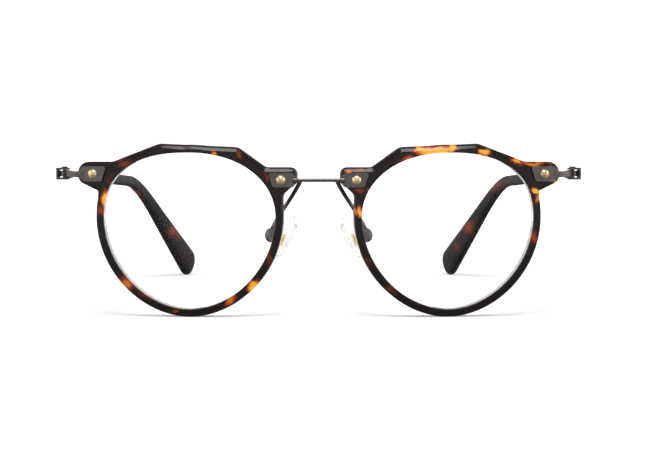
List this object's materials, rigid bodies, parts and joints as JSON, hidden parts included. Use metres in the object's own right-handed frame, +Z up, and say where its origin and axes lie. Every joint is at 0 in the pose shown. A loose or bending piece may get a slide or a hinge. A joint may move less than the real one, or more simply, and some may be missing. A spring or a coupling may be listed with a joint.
{
  "type": "eyeglasses",
  "caption": "Round full-rim acetate eyeglasses with a flat-topped crown, wire bridge, adjustable clear nose pads and folding temples.",
  "frame": {"origin": "on the surface the glasses stand on, under the middle of their bounding box", "axes": "+X towards the wearer's left, -Y the way the wearer looks, +Z up"},
  "size_m": [0.142, 0.141, 0.0461],
  "materials": {
    "acetate": "polished dark tortoiseshell acetate with amber patches",
    "lens": "clear uncoated plastic lens",
    "gunmetal": "satin gunmetal plating",
    "gold": "satin pale gold plating",
    "silicone": "clear soft silicone"
  },
  "bodies": {
    "front": {"rim_right": "acetate", "rim_left": "acetate", "lens_right": "lens", "lens_left": "lens", "end_piece_right": "gunmetal", "end_piece_left": "gunmetal", "nose_plate_right": "gunmetal", "nose_plate_left": "gunmetal", "end_rivet_right": "gold", "end_rivet_left": "gold", "nose_rivet_right": "gold", "nose_rivet_left": "gold", "end_nut_right": "gunmetal", "end_nut_left": "gunmetal", "nose_nut_right": "gunmetal", "nose_nut_left": "gunmetal", "pad_arm_right": "gunmetal", "pad_arm_left": "gunmetal", "pad_clevis_right": "gunmetal", "pad_clevis_left": "gunmetal", "pad_pin_right": "gunmetal", "pad_pin_left": "gunmetal", "bridge_wire": "gunmetal"},
    "temple_right": {"temple_clevis_right": "gunmetal", "hinge_screw_right": "gunmetal", "temple_wire_right": "gunmetal", "temple_sleeve_right": "acetate"},
    "pad_right": {"pad_core_right": "gold", "nose_pad_right": "silicone"},
    "temple_left": {"temple_clevis_left": "gunmetal", "hinge_screw_left": "gunmetal", "temple_wire_left": "gunmetal", "temple_sleeve_left": "acetate"},
    "pad_left": {"pad_core_left": "gold", "nose_pad_left": "silicone"}
  },
  "joints": [
    {"name": "fold_right", "type": "hinge", "parent": "front", "child": "temple_right", "pos_m": [-0.06884, -0.05886, 0.038], "axis": [0, 0, -1], "range_deg": [0, 71]},
    {"name": "fold_left", "type": "hinge", "parent": "front", "child": "temple_left", "pos_m": [0.06884, -0.05886, 0.038], "axis": [0, 0, 1], "range_deg": [0, 80]},
    {"name": "rock_pad_right", "type": "hinge", "parent": "front", "child": "pad_right", "pos_m": [-0.01241, -0.05974, 0.02131], "axis": [-0.5, 0.866, 0], "range_deg": [-8, 8]},
    {"name": "rock_pad_left", "type": "hinge", "parent": "front", "child": "pad_left", "pos_m": [0.01241, -0.05974, 0.02131], "axis": [0.5, 0.866, 0], "range_deg": [-8, 8]}
  ]
}
